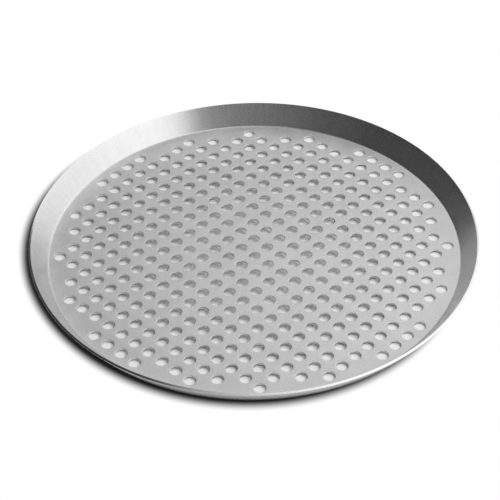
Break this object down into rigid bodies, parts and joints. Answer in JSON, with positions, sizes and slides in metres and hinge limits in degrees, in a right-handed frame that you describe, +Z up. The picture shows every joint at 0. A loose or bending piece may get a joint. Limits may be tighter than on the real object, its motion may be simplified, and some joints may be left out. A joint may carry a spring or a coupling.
{
  "type": "perforated pizza pan",
  "caption": "Shallow round pizza pan of sheet aluminium with a flared wall and a crowned floor punched all over with round holes on a diagonal grid.",
  "frame": {"origin": "centre of the pan on the plane of the flat ring that it stands on", "axes": "+Z up through the mouth, +X and +Y along the diagonals of the square hole grid"},
  "size_m": [0.3049, 0.305, 0.016],
  "materials": {
    "aluminium": "satin brushed"
  },
  "bodies": {
    "root": {"pan": "aluminium"}
  },
  "joints": []
}
